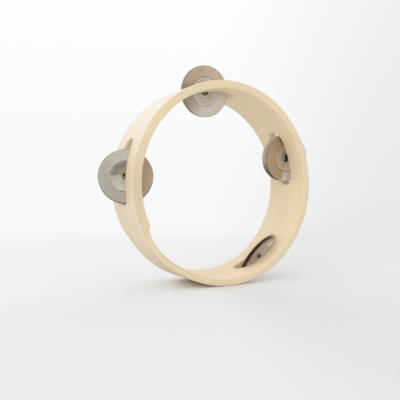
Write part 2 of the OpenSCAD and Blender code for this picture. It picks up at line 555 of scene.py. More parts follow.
        # Painted shade round the nails, on the slot walls beside the jingles.
        if self.nails:
            tint = bench.blend(self.painted_nail_shade(bench) * streak.mix(*self.nail_shade_mix), tint, self.nail_shade)
        rough = fibre.mix(self.roughness, self.fibre_rough) + pores * self.pore_rough
        height = fibre * self.fibre_relief + figure * self.figure_relief - pores * self.pore_relief
        normal = bench.bump(height, self.fibre_depth)
        inputs = {"Base Color": tint, "Roughness": rough, "Normal": normal, "Specular IOR Level": self.shine}
        bench.surface(bench.put("ShaderNodeBsdfPrincipled", inputs))
        return material

    def glue_line(self, spot: Polar, radius: float, figure: Wire, kept: Wire) -> Wire:
        """A glue line on the rims, which sanding takes off outside and the shaved ply widens inside.

        Args:
            spot: The place on the hoop.
            radius: The line's radius.
            figure: The pattern that the line follows.
            kept: How much of the outer line the sanding has left.

        Returns:
            The line's strength, where 1 is full.
        """
        line = spot.radius.line(radius, self.glue_half_width) * figure.mix(*self.glue_mix)
        if radius == max(self.glue_radii):
            return line * kept
        shaved = spot.turn.rise(0.0, self.lap_turn) * spot.turn.rise(self.twist.end, self.shaved_end)
        return line + spot.radius.line(radius, self.glue_half_width * 2) * shaved

    def painted_nail_shade(self, bench: Bench) -> Wire:
        """Painted shade on the slot's sides round each nail, where the jingles shade the wall.

        Args:
            bench: The material's node tree.

        Returns:
            How dark the painted shade is, from 0 to 1.
        """
        x, _, z = bench.parts(bench.put("ShaderNodeTexCoord", output="Object"))
        marks = None
        for nail in self.nails:
            mark = bench.length(x - nail.x, z - nail.z).rise(self.nail_shade_r, self.nail_shade_r * self.nail_shade_full)
            marks = mark if marks is None else marks + mark
        return bench.math("MINIMUM", marks, 1.0)


@dataclass(frozen=True)
class Blotches:
    """A noise on the metal, by its scale, detail and roughness."""

    scale: float
    detail: float = 3.0
    roughness: float = 0.65

    def at(self, bench: Bench, place: Wire) -> Wire:
        """The noise at a place, from 0 to 1."""
        return bench.noise(place, self.scale, self.detail, self.roughness)


@dataclass(frozen=True)
class NickelFinish:
    """Nickel-plated pressed sheet with wear, smudges and specks, and painted light: a brown painted
    reflection of the wood towards one side, painted shade in its cup and round its hole, and a painted band
    along its rim.

    Turns go anticlockwise from the picture's right, seen from the side that the disc's rim points to.
    Shares are of the disc's radius.
    """

    name: str
    plate: Colour = colour(208, 201, 188)
    cup: Colour = colour(208, 201, 188)
    # The colour of random wear, and of the painted side light: a painted reflection of the wood on most
    # discs, a painted dark shade on the right rear one.
    wear_and_side_light: Colour = colour(184, 158, 128)
    # The colour of smudges and creases, and of the painted shade in the cup.
    grime_and_shade: Colour = colour(112, 98, 86)
    # The colour of specks and of the painted rim band: dark on the front discs as painted shade, pale on the
    # top and right rear discs as a painted reflection.
    edge: Colour = colour(104, 98, 92)
    # The colour of dust at the hub and of the painted shade round and through the hole.
    dust_and_shade: Colour = colour(44, 36, 30)
    # Colour of the second painted side light: dark for painted shade, pale for a painted highlight.
    second_side_light: Colour = colour(160, 158, 144)
    cloud: Blotches = Blotches(95.0, roughness=0.6)
    smudge: Blotches = Blotches(260.0)
    smear: Blotches = Blotches(420.0)
    mottle: Blotches = Blotches(900.0, 4.0, 0.7)
    speck: Blotches = Blotches(1100.0, 1.0, 0.5)
    turning_marks: float = 230.0
    wear_strength: float = 0.4
    wear_cloud: float = 0.45
    wear_cloud_span: Span = (0.35, 0.75)
    wear_smear: float = 0.2
    wear_smear_span: Span = (0.45, 0.8)
    # Painted side light: a painted reflection of the wood towards one side of the disc.
    side_light_turn: float = 0.0
    side_light_from: float = 0.1
    side_light_to: float = 0.5
    side_light_strength: float = 0.8
    side_light_ragged: float = 0.35
    # Second painted side light: painted shade towards one side of the flange, a painted highlight on the
    # right rear disc.
    second_side_light_turn: float = math.radians(215)
    second_side_light_strength: float = 0.0
    second_side_light_span: Span = (-0.1, 0.7)
    second_side_light_ragged: float = 0.6
    smudge_strength: float = 0.16
    smudge_span: Span = (0.48, 0.72)
    # Painted shade in the cup, towards one side and mottled.
    cup_shade_turn: float = math.radians(100)
    cup_shade_strength: float = 0.5
    cup_shade_span: Span = (-0.02, 0.14)
    cup_shade_ragged: float = 0.3
    cup_shade_mix: Mix = (0.35, 0.65)
    cup_shade_mottle_span: Span = (0.3, 0.7)
    cup_share: float = 0.583
    cup_edge: float = 0.02
    cup_blur: float = 0.03
    cup_side_light: float = 1.0
    crease_mix: Mix = (0.12, 0.55)
    crease_width: float = 0.04
    crease_span: Span = (0.42, 0.6)
    crease_smear_mix: Mix = (0.5, 0.8)
    hub_share: float = 0.281
    # Darkening round the hub and at the hole's edge: partly dust and partly painted shade; at full strength
    # on the rear discs, painted shade seen through the front disc's hole.
    hub_dust_and_shade: float = 0.15
    hub_dust_and_shade_reach: Span = (1.2, 0.7)
    hub_crease: float = 0.3
    hub_crease_width: float = 0.025
    hole_share: float = 0.146
    hole_width: float = 0.03
    hole_dust_and_shade: float = 0.6
    speck_strength: float = 0.7
    speck_span: Span = (0.71, 0.77)
    rim_share: float = 0.972
    rim_strength: float = 0.8
    roughness: float = 0.34
    wear_rough: float = 0.16
    side_light_rough: float = 0.08
    mark_rough: float = 0.02
    cup_shade_rough: float = 0.15
    relief: float = 0.12 * MM
    cloud_relief: float = 0.75
    smear_relief: float = 0.2
    mark_relief: float = 0.03
    cup_shade_relief: float = 0.5
    speck_relief: float = 0.15
    metallic: float = 0.92
    uv_name: str = "disc"

    def make(self) -> bpy.types.Material:
        """Builds the material on the disc's own map, whose middle is at 0.5 and whose rim is 0.5 away.

        Returns:
            The material.
        """
        material, bench = new_bench(self.name)
        x, y, _ = bench.parts(bench.put("ShaderNodeUVMap", uv_map=self.uv_name))
        right = (x - 0.5) * 2.0
        up = (y - 0.5) * 2.0
        radius = bench.length(right, up)
        point = bench.put("ShaderNodeTexCoord", output="Object")
        cloud, smear, mottle = (noise.at(bench, point) for noise in (self.cloud, self.smear, self.mottle))
        smudge = self.smudge.at(bench, point).rise(*self.smudge_span)
        specks = self.speck.at(bench, point).rise(*self.speck_span)
        turned = (radius * self.turning_marks).sine() * 0.5 + 0.5

        def towards(turn: float, pattern: Wire, ragged: float) -> Wire:
            """How far a point lies to one side of the disc, from -1 to 1, made ragged by a pattern."""
            return right * math.cos(turn) + up * math.sin(turn) + (pattern - 0.5) * ragged

        wear = cloud.rise(*self.wear_cloud_span) * self.wear_cloud
        wear = wear + smear.rise(*self.wear_smear_span) * self.wear_smear
        in_cup = radius.rise(self.cup_share + self.cup_edge / 2, self.cup_share - self.cup_blur)
        tint = bench.blend(in_cup, self.plate, self.cup)
        tint = bench.blend(wear * self.wear_strength, tint, self.wear_and_side_light)
        # Second painted side light on the flange: painted shade, and a painted highlight where its colour is
        # pale.
        if self.second_side_light_strength:
            second_side_lit = towards(self.second_side_light_turn, cloud, self.second_side_light_ragged).rise(*self.second_side_light_span) * (1.0 - in_cup)
            tint = bench.blend(second_side_lit * self.second_side_light_strength, tint, self.second_side_light)
        # Painted side light: a brown painted reflection of the wood towards the side that faces it; on the
        # right rear disc, painted shade at its crescent's bottom.
        side_lit = towards(self.side_light_turn, cloud, self.side_light_ragged).rise(self.side_light_from, self.side_light_to)
        side_lit = side_lit * (1.0 - in_cup * (1.0 - self.cup_side_light))
        tint = bench.blend(side_lit * self.side_light_strength, tint, self.wear_and_side_light)
        tint = bench.blend(smudge * self.smudge_strength, tint, self.grime_and_shade)
        # Painted shade: the cup darker towards one side, the upper side on the front discs, where the hollow
        # lies in shade.
        cup_shade = towards(self.cup_shade_turn, mottle, self.cup_shade_ragged).rise(*self.cup_shade_span)
        cup_shade = in_cup * cup_shade * mottle.rise(*self.cup_shade_mottle_span).mix(*self.cup_shade_mix)
        tint = bench.blend(cup_shade * self.cup_shade_strength, tint, self.grime_and_shade)
        crease = radius.line(self.cup_share - self.cup_edge / 2, self.crease_width)
        crease = crease * cloud.rise(*self.crease_span).mix(*self.crease_mix)
        crease = crease + radius.line(self.hub_share, self.hub_crease_width) * self.hub_crease
        tint = bench.blend(crease * smear.mix(*self.crease_smear_mix), tint, self.grime_and_shade)
        # Dust and painted shade round the hub and at the hole's edge.
        dust_and_shade_mask = radius.rise(*(self.hub_share * reach for reach in self.hub_dust_and_shade_reach)) * self.hub_dust_and_shade
        dust_and_shade_mask = dust_and_shade_mask + radius.line(self.hole_share, self.hole_width) * self.hole_dust_and_shade
        tint = bench.blend(bench.math("MINIMUM", dust_and_shade_mask, 1.0), tint, self.dust_and_shade)
        tint = bench.blend(specks * self.speck_strength, tint, self.edge)
        # Painted band at the rim: painted shade along the front discs' outline, a painted reflection of the
        # white surroundings on the top and right rear discs.
        tint = bench.blend(radius.rise(self.rim_share, 1.0) * self.rim_strength, tint, self.edge)
        rough = wear.mix(self.roughness, self.wear_rough) + side_lit * self.side_light_rough
        rough = rough + turned * self.mark_rough + cup_shade * self.cup_shade_rough
        height = cloud * self.cloud_relief + smear * self.smear_relief + turned * self.mark_relief
        height = height + cup_shade * mottle * self.cup_shade_relief - specks * self.speck_relief
        normal = bench.bump(height, self.relief)
        inputs = {"Base Color": tint, "Metallic": self.metallic, "Roughness": rough, "Normal": normal}
        bench.surface(bench.put("ShaderNodeBsdfPrincipled", inputs))
        return material


@dataclass(frozen=True)
class NailFinish:
    """Drawn steel wire with faint draw marks and specks of rust."""

    name: str
    steel: Colour = colour(70, 60, 52)
    rust: Colour = colour(74, 50, 36)
    rust_spots: Blotches = Blotches(700.0, roughness=0.7)
    rust_span: Span = (0.62, 0.78)
    rust_strength: float = 0.6
    draw_scale: float = 6000.0
    draw_scale_along: float = 120.0
    draw_depth: float = 0.02 * MM
    roughness: float = 0.58
    draw_rough: float = 0.12
    rust_rough: float = 0.2
    metallic: float = 0.8

    def make(self) -> bpy.types.Material:
        """Builds the material.

        Returns:
            The material.
        """
        material, bench = new_bench(self.name)
        point = bench.put("ShaderNodeTexCoord", output="Object")
        x, y, z = bench.parts(point)
        along = bench.vector(x * self.draw_scale, y * self.draw_scale_along, z * self.draw_scale)
        draw = bench.noise(along, 1.0)
        rust = self.rust_spots.at(bench, point).rise(*self.rust_span)
        tint = bench.blend(rust * self.rust_strength, self.steel, self.rust)
        rough = draw.mix(self.roughness, self.draw_rough) + rust * self.rust_rough
        normal = bench.bump(draw, self.draw_depth)
        inputs = {"Base Color": tint, "Metallic": self.metallic, "Roughness": rough, "Normal": normal}
        bench.surface(bench.put("ShaderNodeBsdfPrincipled", inputs))
        return material


# The hoop

@dataclass(frozen=True)
class Slot:
    """A round-ended slot along the hoop: its place, as a turn from +X towards +Z, its length and whether
    painted shade lies round its nail.
    """

    name: str
    turn: float
    length: float = 45 * MM
    painted_nail_shade: bool = True


@dataclass
class Hoop:
    """The laminated hoop: three veneer strips with four slots, lapped at the lower left."""

    slots: Sequence[Slot]
    twist: Twist = Twist()
    steps: int = 288
    corner_r: float = 0.8 * MM
    corner_segments: int = 5
    slot_w: float = 13.4 * MM
    slot_segments: int = 14
    slot_ease: float = 0.35 * MM
    ease_segments: int = 2
    face_slack: float = 6 * NEAR
    side_slack: float = 2 * NEAR
    outline_slack: float = 5 * NEAR
    crisp_degrees: float = 30
    cutter_reach: float = 8 * MM
    lap_end: float = math.radians(206)
    lap_start: float = math.radians(250)
    shave_rise: float = 1.15
    shave_share: float = 0.97
    wall_slope: float = 0.6

    def __post_init__(self) -> None:
        """Reads the wall's layers from the frame."""
        low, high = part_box(Ply.OUTER.value)
        self.centre = (low + high) / 2
        self.width = high.y - low.y - 2 * HAIR
        self.outer_r = min(high.x - low.x, high.z - low.z) / 2 - HAIR
        self.core_out_r = self.half_box(Ply.CORE)
        self.core_in_r = self.half_box(Ply.INNER)
        self.bore_r = self.core_in_r - (self.outer_r - self.core_out_r)
        self.core_mid_r = (self.core_out_r + self.core_in_r) / 2

    @staticmethod
    def half_box(ply: Ply) -> float:
        """Outer radius of a ply, from its node's box."""
        low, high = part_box(ply.value)
        return (high.x - low.x) / 2

    def layers(self) -> dict[Ply, tuple[float, float]]:
        """Inner and outer radius of each ply.

        Returns:
            The two radii by ply.
        """
        return {
            Ply.OUTER: (self.core_out_r, self.outer_r),
            Ply.CORE: (self.core_in_r, self.core_out_r),
            Ply.INNER: (self.bore_r, self.core_in_r),
        }

    def strip(self, ply: Ply) -> bpy.types.Object:
        """Spins a strip's cross-section round the hoop's axis.

        Args:
            ply: Which strip.

        Returns:
            The strip, closed and without slots.
        """
        inner_r, outer_r = self.layers()[ply]
        deselect()
        bpy.ops.mesh.primitive_plane_add(size=1, location=(0, 0, 0))
        piece = fresh(ply.value.replace("_ply", "_strip"))
        bpy.ops.object.mode_set(mode="EDIT")
        bpy.ops.transform.resize(value=(outer_r - inner_r, self.width, 1))
        middle = self.centre + Vector(((inner_r + outer_r) / 2, 0, 0))
        bpy.ops.transform.translate(value=middle)
        if ply is not Ply.CORE:
            self.round_corners(piece, outer_r if ply is Ply.OUTER else inner_r)
        bpy.ops.mesh.select_all(action="SELECT")
        bpy.ops.mesh.delete(type="ONLY_FACE")
        bpy.ops.mesh.select_all(action="SELECT")
        bpy.ops.mesh.spin(steps=self.steps, angle=math.tau, center=self.centre, axis=(0, 1, 0),
                          use_auto_merge=True)
        bpy.ops.mesh.select_all(action="SELECT")
        bpy.ops.mesh.remove_doubles(threshold=HAIR)
        bpy.ops.mesh.normals_make_consistent(inside=False)
        bpy.ops.object.mode_set(mode="OBJECT")
        return piece

    def round_corners(self, piece: bpy.types.Object, radius: float) -> None:
        """Rounds the two corners of a cross-section that lie at a radius.

        Args:
            piece: The cross-section.
            radius: The corners' radius about the hoop.
        """
        wanted_x = self.centre.x + radius
        select(piece, Element.VERTEX, lambda point: abs(point.x - wanted_x) < NEAR)
        bpy.ops.mesh.bevel(offset=self.corner_r, segments=self.corner_segments, affect="VERTICES")

    def slot_cutter(self) -> bpy.types.Object:
        """Makes the four round-ended blocks that cut the slots, as one object.

        Returns:
            The cutter.
        """
        reach = self.outer_r - self.bore_r + 2 * self.cutter_reach
        blocks = []
        for slot in self.slots:
            deselect()
            bpy.ops.mesh.primitive_cube_add(size=1, location=(0, 0, 0))
            block = fresh(f"{slot.name}_slot_cutter")
            bpy.ops.object.mode_set(mode="EDIT")
            bpy.ops.transform.resize(value=(reach, self.slot_w, slot.length))
            bpy.ops.object.mode_set(mode="OBJECT")
            select(block, Element.EDGE, lambda a, b: abs(a.x - b.x) > reach / 2)
            bpy.ops.mesh.bevel(offset=self.slot_w / 2, segments=self.slot_segments, affect="EDGES",
                               clamp_overlap=False)
            bpy.ops.mesh.select_all(action="SELECT")
            bpy.ops.mesh.remove_doubles(threshold=NEAR / 2)
            bpy.ops.mesh.normals_make_consistent(inside=False)
            bpy.ops.object.mode_set(mode="OBJECT")
            turned = Matrix.Translation(self.centre) @ Matrix.Rotation(-slot.turn, 4, "Y")
            place(block, turned @ Matrix.Translation((self.core_mid_r, 0, 0)))
            blocks.append(block)
        deselect()
        for block in blocks:
            block.select_set(True)
        bpy.context.view_layer.objects.active = blocks[0]
        bpy.ops.object.join()
        return blocks[0]

    def ease_slots(self, piece: bpy.types.Object, radius: float) -> None:
        """Rounds over the slots' edges on the face at a radius, as sanding does.

        Args:
            piece: The strip.
            radius: The face's radius.
        """
        def on_edge(a: Vector, b: Vector) -> bool:
            """True for an edge of a slot on that face.

            Args:
                a: One end.
                b: The other end.

            Returns:
                Whether both ends are on a slot's outline.
            """
            for end in (a, b):
                arm = Vector((end.x - self.centre.x, end.z - self.centre.z))
                off_face = abs(arm.length - radius) > self.face_slack
                if off_face or abs(end.y) > self.slot_w / 2 + self.side_slack:
                    return False
            return self.beside_slot(a) and self.beside_slot(b)

        count = select(piece, Element.EDGE, on_edge)
        bpy.ops.mesh.bevel(offset=self.slot_ease, segments=self.ease_segments, affect="EDGES",
                           clamp_overlap=True)
        bpy.ops.object.mode_set(mode="OBJECT")
        logger.info("%s: %d slot edges eased", piece.name, count)

    def beside_slot(self, point: Vector) -> bool:
        """True for a point on the outline of a slot, seen along that slot's own radius.

        Args:
            point: The point.

        Returns:
            Whether it is on an outline.
        """
        for slot in self.slots:
            local = Matrix.Rotation(slot.turn, 4, "Y") @ (point - self.centre)
            past = max(0.0, abs(local.z) - (slot.length - self.slot_w) / 2)
            off_outline = abs(math.hypot(past, local.y) - self.slot_w / 2)
            if local.x > 0 and off_outline < self.outline_slack:
                return True
        return False

    def turn_of(self, point: Vector) -> float:
        """Angle of a point about the hoop's axis, from +X towards +Z, from 0 to a full turn."""
        return math.atan2(point.z - self.centre.z, point.x - self.centre.x) % math.tau

    def warp_lap(self, piece: bpy.types.Object, ply: Ply) -> None:
        """Twists the strip at its lap, and shaves the inner ply's second end there.

        Args:
            piece: The strip.
            ply: Which strip it is.
        """
        shaved = self.core_in_r - self.bore_r
        span = self.lap_start - self.lap_end
        for vertex in piece.data.vertices:
            turn = self.turn_of(vertex.co)
            arm = Vector((vertex.co.x - self.centre.x, 0, vertex.co.z - self.centre.z))
            radius = arm.length
            if ply is Ply.INNER and self.lap_end < turn < self.lap_start:
                share = min(1.0, (self.lap_start - turn) / span * self.shave_rise)
                radius = max(radius, self.bore_r + shaved * share * self.shave_share)
            lean = self.twist.lift + self.twist.lean * vertex.co.y / (self.width / 2)
            radius += self.twist.height * lean * self.twist.at(turn - self.lap_end)
            arm = arm.normalized() * radius
            vertex.co.x = self.centre.x + arm.x
            vertex.co.z = self.centre.z + arm.z

    def build(self) -> list[bpy.types.Object]:
        """Builds the three strips in place of their nodes.

        Returns:
            The strips.
        """
        cutter = self.slot_cutter()
        finishes = self.finishes()
        strips = []
        for ply in Ply:
            strip = self.strip(ply)
            apply_modifier(strip, "BOOLEAN", operation="DIFFERENCE", solver="EXACT", object=cutter)
            if ply is Ply.OUTER:
                self.ease_slots(strip, self.outer_r)
            if ply is Ply.INNER:
                self.ease_slots(strip, self.bore_r)
            self.warp_lap(strip, ply)
            smooth(strip, self.crisp_degrees)
            self.dress(strip, ply, finishes)
            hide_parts(ply.value)
            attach(strip, "hoop")
            strips.append(strip)
            logger.info("%s: %d faces", strip.name, len(strip.data.polygons))
        remove(cutter)
        return strips

    def finishes(self) -> dict[str, bpy.types.Material]:
        """The veneer's materials: both broad faces, the rims and the walls of the slots.

        Returns:
            The materials by the faces that they are for.
        """
        shared = {"hoop_centre": self.centre, "hoop_radius": self.core_mid_r, "outer_radius": self.outer_r,
                  "rim_across": self.width / 2, "seam_turn": self.lap_end, "twist": self.twist}
        rims = {"glue_radii": (self.core_out_r, self.core_in_r), "held_strength": 0.4, **shared}
        # The outer face gets painted sheen towards the upper left.
        outer = BirchFinish("birch_outer_face", colour(234, 219, 192), colour(224, 204, 172), painted_sheen_share=0.6,
                            held=colour(214, 190, 130), held_turn=math.radians(-30),
                            held_width=math.radians(20), held_strength=0.38, **shared)
        inner = BirchFinish("birch_inner_face", colour(238, 221, 190), colour(226, 205, 171), **shared)
        rim = BirchFinish("birch_rim", colour(233, 216, 182), colour(221, 201, 164), **rims)
        core_rim = BirchFinish("birch_core_rim", colour(236, 218, 182), colour(223, 202, 164),
                               lap_strength=0.35, **rims)
        # The slot walls get painted shade round the nails.
        cut = BirchFinish("birch_cut", colour(238, 219, 184), colour(222, 199, 162),
                          nails=self.nails(), **shared)
        finishes = {"outer": outer, "inner": inner, "rim": rim, "core_rim": core_rim, "cut": cut}
        return {name: finish.make() for name, finish in finishes.items()}

    def nails(self) -> tuple[Vector, ...]:
        """Where nails cross the slots that get painted shade round them, from the nails' own boxes."""
        boxes = [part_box(f"{slot.name}_pin") for slot in self.slots if slot.painted_nail_shade]
        return tuple((low + high) / 2 for low, high in boxes)

    def dress(self, strip: bpy.types.Object, ply: Ply, finishes: dict[str, bpy.types.Material]) -> None:
        """Gives each face of a strip its finish by the way it looks.

        Args:
            strip: The strip.
            ply: Which strip it is.
            finishes: The veneer's materials.
        """
        face = finishes["outer" if ply is Ply.OUTER else "inner"]
        rim = finishes["rim" if ply is Ply.OUTER else "core_rim"]
        for material in (face, rim, finishes["cut"]):
            strip.data.materials.append(material)
        rim_y = self.width / 2 - self.corner_r
        for polygon in strip.data.polygons:
            arm = polygon.center - self.centre
            arm.y = 0
            flat = abs(polygon.normal.dot(arm.normalized()))
            if abs(polygon.center.y) > rim_y - NEAR:
                polygon.material_index = 1
            elif flat < self.wall_slope:
                polygon.material_index = 2


# The jingles

@dataclass
class JingleBlank:
    """One pressed jingle about its own axis: hub at the origin, rim away from its partner."""

    sides: int = 120
    radius: float = 19.2 * MM
    sheet: float = 0.5 * MM
    cup_r: float = 11.2 * MM
    hub_r: float = 5.4 * MM
    hole_r: float = 2.8 * MM
    depth: float = 1.0 * MM
    cup_steps: int = 12
    hole_land: float = 0.3 * MM
    hub_ring: float = 0.12 * MM
    hub_steps: tuple[Span, ...] = ((1.0 * MM, 0.0), (0.5 * MM, 0.3), (0.2 * MM, 0.5))
    plate_steps: tuple[float, ...] = (0.08, 0.2, 0.45, 0.7, 0.9, 0.97, 1.0)
    burr: float = 0.12 * MM
    burr_segments: int = 2
    burr_degrees: float = 60
    crisp_degrees: float = 40

    def profile(self) -> list[tuple[float, float]]:
        """Radii and heights of the sheet's middle, from the hole to the rim.

        Returns:
            Pairs of radius and height.
        """
        points = [(self.hole_r, 0.0), (self.hole_r + self.hole_land, 0.0)]
        for inside, share in self.hub_steps:
            points.append((self.hub_r - inside, share * self.hub_ring))
        for step in range(self.cup_steps + 1):
            share = step / self.cup_steps
            height = self.depth * (1 - math.cos(math.pi * share)) / 2
            points.append((self.hub_r + (self.cup_r - self.hub_r) * share, height))
        for share in self.plate_steps:
            points.append((self.cup_r + (self.radius - self.cup_r) * share, self.depth))
        return points

    def build(self) -> bpy.types.Object:
        """Draws the sheet outwards ring by ring from its hole, then thickens it.

        Returns:
            The blank, with a flat map of its disc.
        """
        deselect()
        bpy.ops.mesh.primitive_circle_add(vertices=self.sides, radius=self.hole_r, fill_type="NOTHING")
        blank = fresh("jingle_blank")
        bpy.ops.object.mode_set(mode="EDIT")
        bpy.ops.mesh.select_mode(type="EDGE")
        bpy.ops.mesh.select_all(action="SELECT")
        rings = self.profile()
        for (radius, height), (next_radius, next_height) in zip(rings, rings[1:]):
            bpy.ops.mesh.extrude_region()
            grow = next_radius / radius
            bpy.ops.transform.resize(value=(grow, grow, 1), center_override=(0, 0, 0))
            bpy.ops.transform.translate(value=(0, 0, next_height - height))
        bpy.ops.mesh.select_all(action="SELECT")
        bpy.ops.mesh.normals_make_consistent(inside=False)
        bpy.ops.object.mode_set(mode="OBJECT")
        apply_modifier(blank, "SOLIDIFY", thickness=self.sheet, offset=0.0, use_even_offset=True)
        apply_modifier(blank, "BEVEL", width=self.burr, segments=self.burr_segments, limit_method="ANGLE",
                       angle_limit=math.radians(self.burr_degrees))
        self.map_disc(blank)
        smooth(blank, self.crisp_degrees)
        return blank

    def map_disc(self, blank: bpy.types.Object) -> None:
        """Lays the disc flat on its map, with its middle at 0.5 and its rim 0.5 away.

        Args:
            blank: The disc, about its own axis.
        """
        layer = blank.data.uv_layers.new(name="disc")
        for loop, target in zip(blank.data.loops, layer.data):
            point = blank.data.vertices[loop.vertex_index].co
            target.uv = (0.5 + point.x / self.radius / 2, 0.5 + point.y / self.radius / 2)


@dataclass
class Pair:
    """Two jingles on one nail, placed by their joints in the frame."""

    name: str
    blank: bpy.types.Object
    front: NickelFinish
    rear: NickelFinish
    holes: tuple[float, float]
    across: Vector

    def joint(self, kind: str) -> dict:
        """The frame's joint of this pair."""
        wanted = f"{self.name}_pair_{kind}"
        return next(joint for joint in frame["joints"] if joint["name"] == wanted)

    def jingle(self, side: Side) -> bpy.types.Object:
        """Copies the blank to its place in the pair.

        Args:
            side: Which of the two.

        Returns:
            The jingle, in place of its node.
        """
        joint = self.joint("clash" if side is Side.FRONT else "spin")
        axis = Vector(joint["axis"]).normalized() * side.value
        node = f"{self.name}_{side.name.lower()}_jingle"
        finish, hole_r = (self.front, self.holes[0]) if side is Side.FRONT else (self.rear, self.holes[1])
        piece = self.blank.copy()
        piece.data = self.blank.data.copy()
        piece.name = f"{self.name}_{side.name.lower()}_disc"
        piece.data.name = piece.name
        bpy.context.scene.collection.objects.link(piece)
        self.draw_in_hole(piece, hole_r)
        right = (self.across - axis * self.across.dot(axis)).normalized()
        turned = Matrix((right, axis.cross(right), axis)).transposed().to_4x4()
        place(piece, Matrix.Translation(Vector(joint["pos_m"])) @ turned)
        piece.data.materials.append(finish.make())
        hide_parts(node)
        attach(piece, node)
        logger.info("%s: %d faces", piece.name, len(piece.data.polygons))
        return piece

    @staticmethod
    def draw_in_hole(piece: bpy.types.Object, hole_r: float) -> None:
        """Makes a jingle's hole as small as its nail leaves room for.

        Args:
            piece: The jingle, about its own axis.
            hole_r: The hole's new radius.
        """
        def on_hole(a: Vector, b: Vector) -> bool:
            """True for an edge of the hole's own rings."""
            return max(a.xy.length, b.xy.length) < JingleBlank.hole_r + JingleBlank.hole_land * 2 / 3

        select(piece, Element.EDGE, on_hole)
        share = hole_r / JingleBlank.hole_r
        bpy.ops.transform.resize(value=(share, share, 1), center_override=(0, 0, 0))
        bpy.ops.object.mode_set(mode="OBJECT")

    def build(self) -> list[bpy.types.Object]:
        """Builds both jingles."""
        return [self.jingle(side) for side in Side]


# The nails

@dataclass
class Nail:
    """A headed nail across a slot, its head sunk in the rear rim."""

    name: str
    finish: bpy.types.Material
    sides: int = 40
    shaft_r: float = 0.75 * MM
    head_t: float = 0.6 * MM
    head_round: float = 0.18 * MM
    head_segments: int = 3
    tip_l: float = 1.8 * MM
    tip_share: float = 0.15
    crisp_degrees: float = 40

    def build(self) -> bpy.types.Object:
        """Draws the shaft out of a disc that becomes the head.

        Returns:
            The nail, in place of its node.
        """
        node = f"{self.name}_pin"
        low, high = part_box(node)
        head_r = (high.x - low.x) / 2
        rear_y = high.y - HAIR
        front_y = rear_y - self.head_t
        head_at = Vector(((low.x + high.x) / 2, rear_y - self.head_t / 2, (low.z + high.z) / 2))
        deselect()
        bpy.ops.mesh.primitive_cylinder_add(vertices=self.sides, radius=head_r, depth=self.head_t)
        piece = fresh(f"{self.name}_nail")
        place(piece, Matrix.Translation(head_at) @ Matrix.Rotation(math.pi / 2, 4, "X"))
        select(piece, Element.EDGE, lambda a, b: max(abs(a.y - rear_y), abs(b.y - rear_y)) < NEAR)
        bpy.ops.mesh.bevel(offset=self.head_round, segments=self.head_segments, affect="EDGES")
        select(piece, Element.FACE, lambda middle: abs(middle.y - front_y) < NEAR)
        bpy.ops.mesh.inset(thickness=head_r - self.shaft_r)
        for length, share in ((front_y - low.y - self.tip_l, 1.0), (self.tip_l, self.tip_share)):
            bpy.ops.mesh.extrude_region()
            bpy.ops.transform.translate(value=(0, -length, 0))
            bpy.ops.transform.resize(value=(share, 1, share), center_override=head_at)
        bpy.ops.object.mode_set(mode="OBJECT")
        smooth(piece, self.crisp_degrees)
        piece.data.materials.append(self.finish)
        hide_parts(node)
        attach(piece, "hoop")
        logger.info("%s: %d faces", piece.name, len(piece.data.polygons))
        return piece


# The studio

@dataclass(frozen=True)
class Backdrop:
    """How pale the studio looks in a direction: whitest up and to the left, greyer behind the camera."""

    yaw: float = math.radians(28.85)
    tint: Colour = (0.985, 0.998, 1.0, 1.0)
    middle: float = 0.945
    rightwards: float = -0.125
    upwards: float = 0.15
    behind: float = 0.34
    behind_span: Span = (0.2, 0.9)
    low_span: Span = (0.6, 0.15)
    right_span: Span = (0.0, 0.42)

    def level(self, bench: Bench, x: Wire, y: Wire, z: Value, room: Value = 1.0) -> Wire:
        """Strength of the backdrop.

        Args:
            bench: The node tree to build in.
            x: The direction's part along X, as the direction's length is 1.
            y: Its part along Y.
            z: Its part along Z.
            room: How much of the grey behind the camera counts.

        Returns:
            The strength, where 1 is white.
        """
        sine, cosine = math.sin(self.yaw), math.cos(self.yaw)
        right = x * cosine - y * sine
        back = (x * sine + y * cosine) * -1.0
        up = bench.math("MAXIMUM", z, 0.0)
        room = back.rise(*self.behind_span) * up.rise(*self.low_span) * self.behind * room
        side = right.rise(*self.right_span) * self.rightwards
        return (self.middle + side + up * self.upwards) * (1.0 - room)


@dataclass(frozen=True)
class FloorFinish:
    """Pale paper floor that passes into the backdrop with distance, at first just enough to ease the shadow.

    Spans are distances in metres from the place below the hoop.
    """

    backdrop: Backdrop
    name: str = "paper_floor"
    near: Colour = colour(227, 227, 228)
    # Painted bounce light: close under the hoop the paper is warmed towards the wood's colour.
    painted_bounce: Colour = colour(226, 208, 182)
    painted_bounce_span: Span = (0.045, 0.01)
    painted_bounce_strength: float = 0.75
    fade_span: Span = (0.03, 0.6)
    ease_span: Span = (0.008, 0.045)
    ease: float = 0.48
    room_span: Span = (0.25, 0.6)
    room_near: float = 0.35

    def make(self) -> bpy.types.Material:
        """Builds the material.

        Returns:
            The material.
        """
        material, bench = new_bench(self.name)
        x, y, _ = bench.parts(bench.put("ShaderNodeTexCoord", output="Object"))
        distance = bench.length(x, y)
        eased = distance.rise(*self.ease_span) * self.ease
        far = bench.math("MAXIMUM", eased, distance.rise(*self.fade_span)) * bench.seen_or_mirrored()
        room = distance.rise(*self.room_span).mix(self.room_near, 1 - self.room_near)
        level = self.backdrop.level(bench, x / distance, y / distance, 0.0, room)
        # Painted bounce light from the wood, warming the paper near the hoop.
        tint = bench.blend(distance.rise(*self.painted_bounce_span) * self.painted_bounce_strength, self.near, self.painted_bounce)
        paper = bench.put("ShaderNodeBsdfDiffuse", {"Color": tint})
        white = bench.put("ShaderNodeEmission", {"Color": self.backdrop.tint, "Strength": level})
        bench.surface(bench.put("ShaderNodeMixShader", {0: far, 1: paper, 2: white}))
        return material


